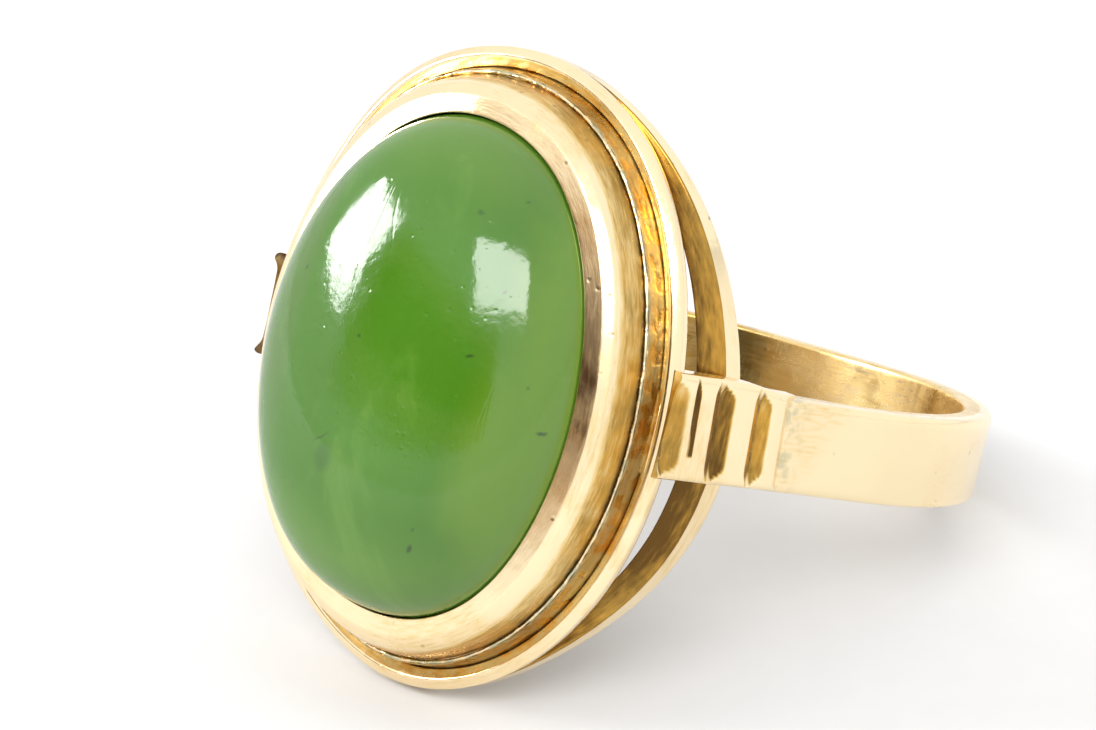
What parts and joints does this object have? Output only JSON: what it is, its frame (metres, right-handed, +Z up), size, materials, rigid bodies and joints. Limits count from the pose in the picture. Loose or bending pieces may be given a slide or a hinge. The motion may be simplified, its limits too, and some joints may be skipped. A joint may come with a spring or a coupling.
{
  "type": "gemstone ring",
  "caption": "Yellow gold finger ring with an oval green jade cabochon in a stepped oval setting, a bent gallery strip and ribbed shoulders, lying on its side.",
  "frame": {"origin": "centre of the resting ring's box, on the floor that it lies on", "axes": "+Z up from the floor, -Y the way the stone faces, X across the finger"},
  "size_m": [0.0186, 0.023, 0.0162],
  "materials": {
    "gold": "polished yellow gold with fine scratches, tarnish in the solder seams",
    "jade": "polished green nephrite, cloudy, with small dark inclusions"
  },
  "bodies": {
    "root": {"gold_mount": "gold", "jade_cabochon": "jade"}
  },
  "joints": []
}
